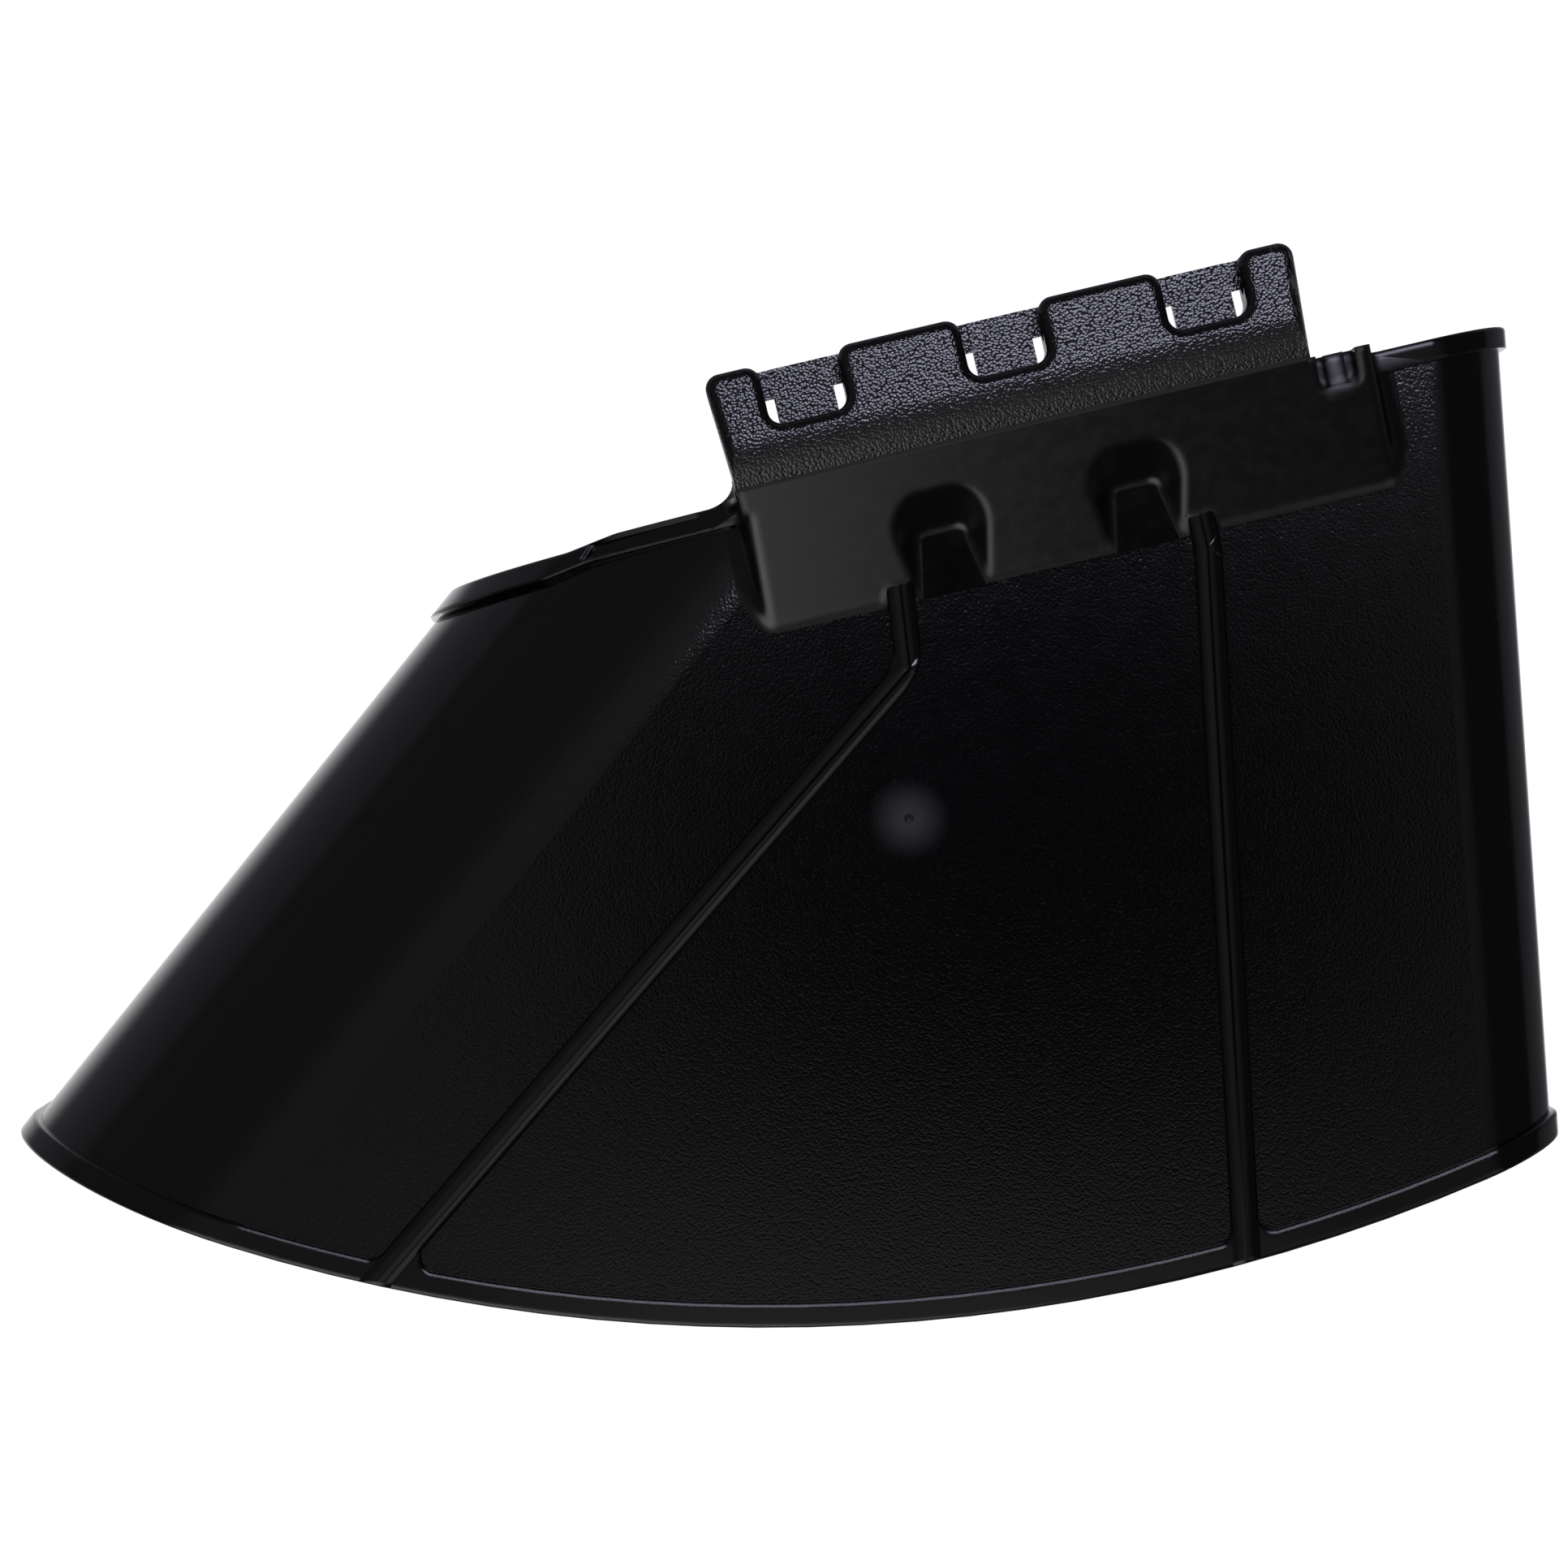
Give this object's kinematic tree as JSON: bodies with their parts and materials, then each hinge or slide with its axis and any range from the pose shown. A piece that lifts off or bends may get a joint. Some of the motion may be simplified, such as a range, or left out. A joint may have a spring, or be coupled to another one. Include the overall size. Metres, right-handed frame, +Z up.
{
  "type": "mower discharge deflector",
  "caption": "Moulded hood that hinges over a mower deck's side outlet and turns clippings down, with a notched hinge plate, a pocketed riser, raised ribs and a beaded outlet edge.",
  "frame": {"origin": "middle of the hinge rod's bore, on its axis", "axes": "+X along the hinge rod, to the right with the outlet nearest the viewer; +Y towards the deck; +Z up, with the hood's open side down"},
  "size_m": [0.5814, 0.3355, 0.1437],
  "materials": {
    "moulding": "fine grained black, with smoother ribs and rim"
  },
  "bodies": {
    "root": {"discharge_deflector": "moulding"}
  },
  "joints": []
}
